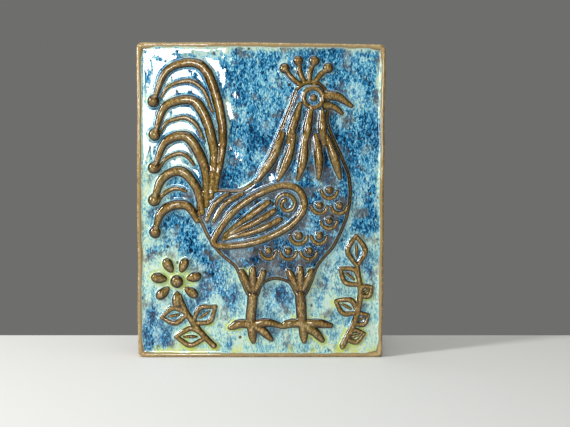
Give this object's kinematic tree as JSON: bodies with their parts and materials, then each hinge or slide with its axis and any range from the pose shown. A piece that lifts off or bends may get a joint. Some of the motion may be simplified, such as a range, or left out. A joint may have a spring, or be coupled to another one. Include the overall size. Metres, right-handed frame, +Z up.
{
  "type": "decorative wall plaque",
  "caption": "Upright stoneware wall plaque with a lipped field, a moulded crested bird between garden sprigs, and a recessed back with a nail pocket.",
  "frame": {"origin": "middle of the back, on the band between the two wells, in the plane that lies on the wall", "axes": "+Z up the wall, +Y out of the back into the wall, so the relief faces -Y, and +X to the right as the face is seen"},
  "size_m": [0.24, 0.0214, 0.305],
  "materials": {
    "glazed_stoneware": "glossy reactive glaze in blue, aqua and pale celadon, brown where it breaks over the ridges"
  },
  "bodies": {
    "root": {"plaque": "glazed_stoneware"}
  },
  "joints": []
}
